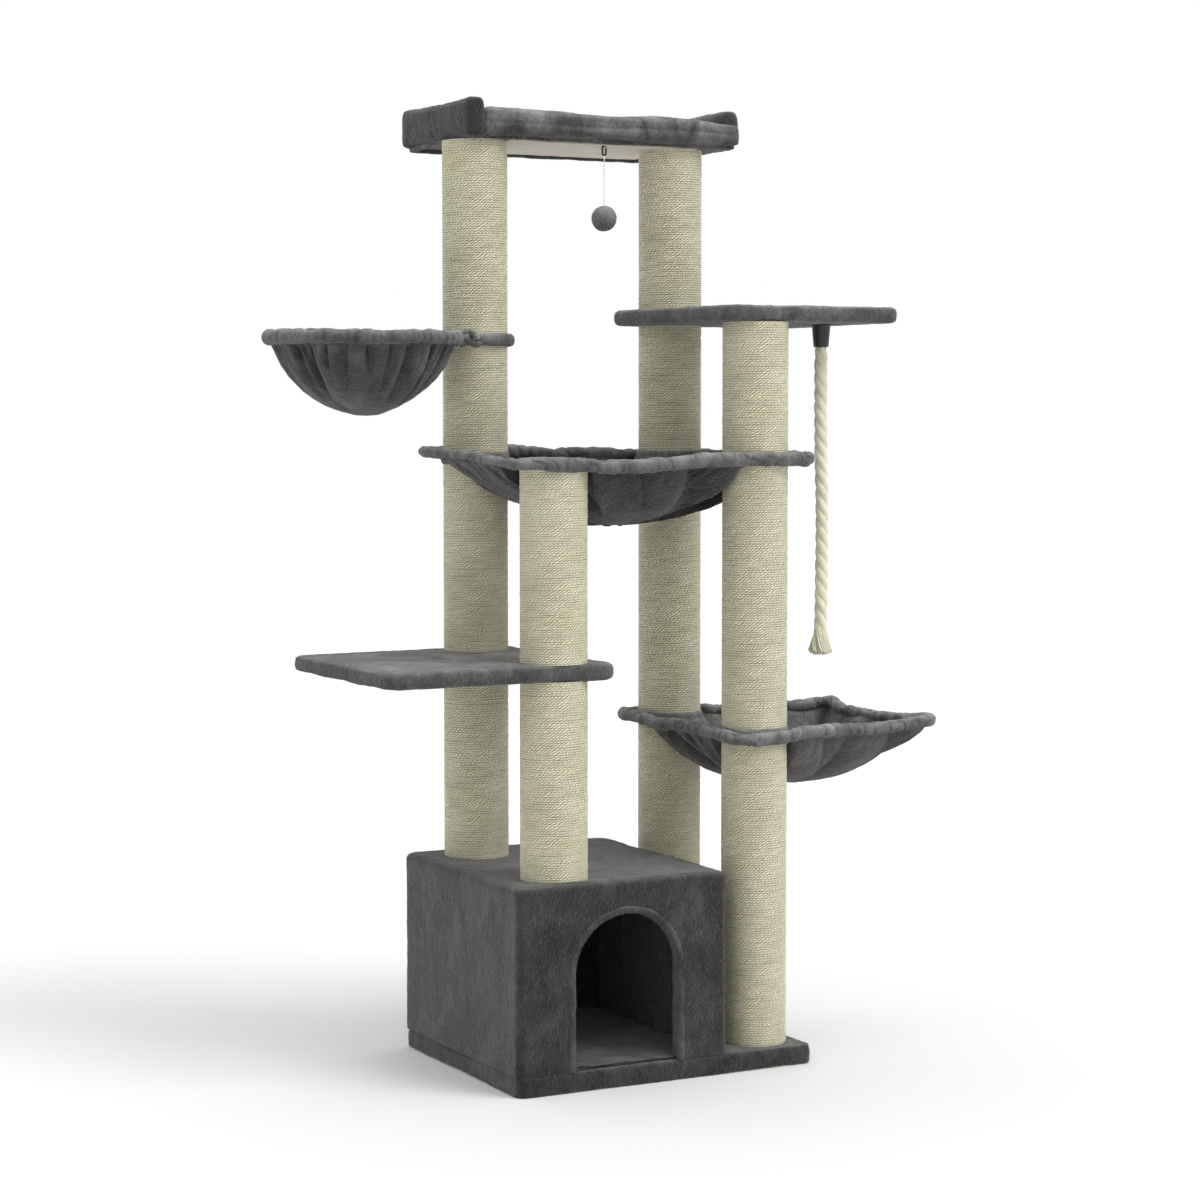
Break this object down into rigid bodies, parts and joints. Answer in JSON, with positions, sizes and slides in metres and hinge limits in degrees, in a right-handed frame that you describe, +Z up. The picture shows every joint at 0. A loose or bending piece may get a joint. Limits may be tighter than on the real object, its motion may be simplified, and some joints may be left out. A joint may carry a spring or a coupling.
{
  "type": "cat tree",
  "caption": "Tall free-standing cat tree: arched plush house on a foot, rope-wound posts, shelves, hanging hammocks, railed perch, swinging ball and rope.",
  "frame": {"origin": "bottom centre of the foot, on the floor", "axes": "+X to the right along the foot's long side, +Y to the back, +Z up"},
  "size_m": [1.2279, 0.612, 1.755],
  "materials": {
    "sisal_rope": "tightly wound sisal rope",
    "cardboard": "spiral-wound cardboard core",
    "particle_board": "raw particle board",
    "zinc_steel": "zinc plated",
    "pale_lining": "thin pale lining cloth",
    "cotton_rope": "three-strand twisted rope, frayed end",
    "black_plastic": "moulded, satin",
    "black_elastic": "braided elastic",
    "white_string": "twisted string",
    "dark_plush": "short brushed plush",
    "grey_plush": "short brushed plush"
  },
  "bodies": {
    "tree": {"arch_trim": "dark_plush", "base_board": "particle_board", "base_cover": "dark_plush", "house_back_panel": "particle_board", "house_cover": "dark_plush", "house_floor_mat": "dark_plush", "house_front_panel": "particle_board", "house_left_panel": "particle_board", "house_lining": "dark_plush", "house_right_panel": "particle_board", "house_screws": "zinc_steel", "house_top_panel": "particle_board", "lower_hammock_bag": "grey_plush", "lower_hammock_frame": "particle_board", "lower_hammock_sleeve": "grey_plush", "lower_shelf_board": "particle_board", "lower_shelf_cover": "grey_plush", "middle_hammock_bag": "grey_plush", "middle_hammock_frame": "particle_board", "middle_hammock_sleeve": "grey_plush", "perch_back_rail": "grey_plush", "perch_board": "particle_board", "perch_cover": "grey_plush", "perch_front_rail": "grey_plush", "perch_left_bolster": "grey_plush", "perch_lining": "pale_lining", "perch_right_bolster": "grey_plush", "post_bolts": "zinc_steel", "post_end_plugs": "particle_board", "post_studs": "zinc_steel", "post_tubes": "cardboard", "post_washers": "zinc_steel", "rope_ferrule": "black_plastic", "round_hammock_bag": "grey_plush", "round_hammock_collar": "particle_board", "round_hammock_collar_cover": "grey_plush", "round_hammock_ring": "zinc_steel", "round_hammock_sleeve": "grey_plush", "sisal_back_left_1": "sisal_rope", "sisal_back_left_2": "sisal_rope", "sisal_back_left_3": "sisal_rope", "sisal_back_left_4": "sisal_rope", "sisal_back_right_1": "sisal_rope", "sisal_back_right_2": "sisal_rope", "sisal_back_right_3": "sisal_rope", "sisal_back_right_4": "sisal_rope", "sisal_front_left_1": "sisal_rope", "sisal_front_left_2": "sisal_rope", "sisal_front_right_1": "sisal_rope", "sisal_front_right_2": "sisal_rope", "sisal_front_right_3": "sisal_rope", "toy_staple": "zinc_steel", "upper_shelf_board": "particle_board", "upper_shelf_cover": "grey_plush"},
    "toy_loop_body": {"toy_loop": "black_elastic"},
    "toy_hang": {"toy_string": "white_string", "toy_ball": "grey_plush"},
    "rope_swivel": {"rope_neck": "cotton_rope"},
    "rope_hang": {"rope": "cotton_rope", "rope_end": "cotton_rope"}
  },
  "joints": [
    {"name": "toy_loop_swing", "type": "hinge", "parent": "tree", "child": "toy_loop_body", "pos_m": [0.051, 0.105, 1.674], "axis": [1, 0, 0], "range_deg": [-45, 45]},
    {"name": "toy_side_swing", "type": "hinge", "parent": "toy_loop_body", "child": "toy_hang", "pos_m": [0.051, 0.105, 1.664], "axis": [0, 1, 0], "range_deg": [-20, 60]},
    {"name": "rope_side_swing", "type": "hinge", "parent": "tree", "child": "rope_swivel", "pos_m": [0.4, -0.096, 1.306], "axis": [0, 1, 0], "range_deg": [-35, 5]},
    {"name": "rope_front_swing", "type": "hinge", "parent": "rope_swivel", "child": "rope_hang", "pos_m": [0.4, -0.096, 1.306], "axis": [1, 0, 0], "range_deg": [-40, 40]}
  ]
}
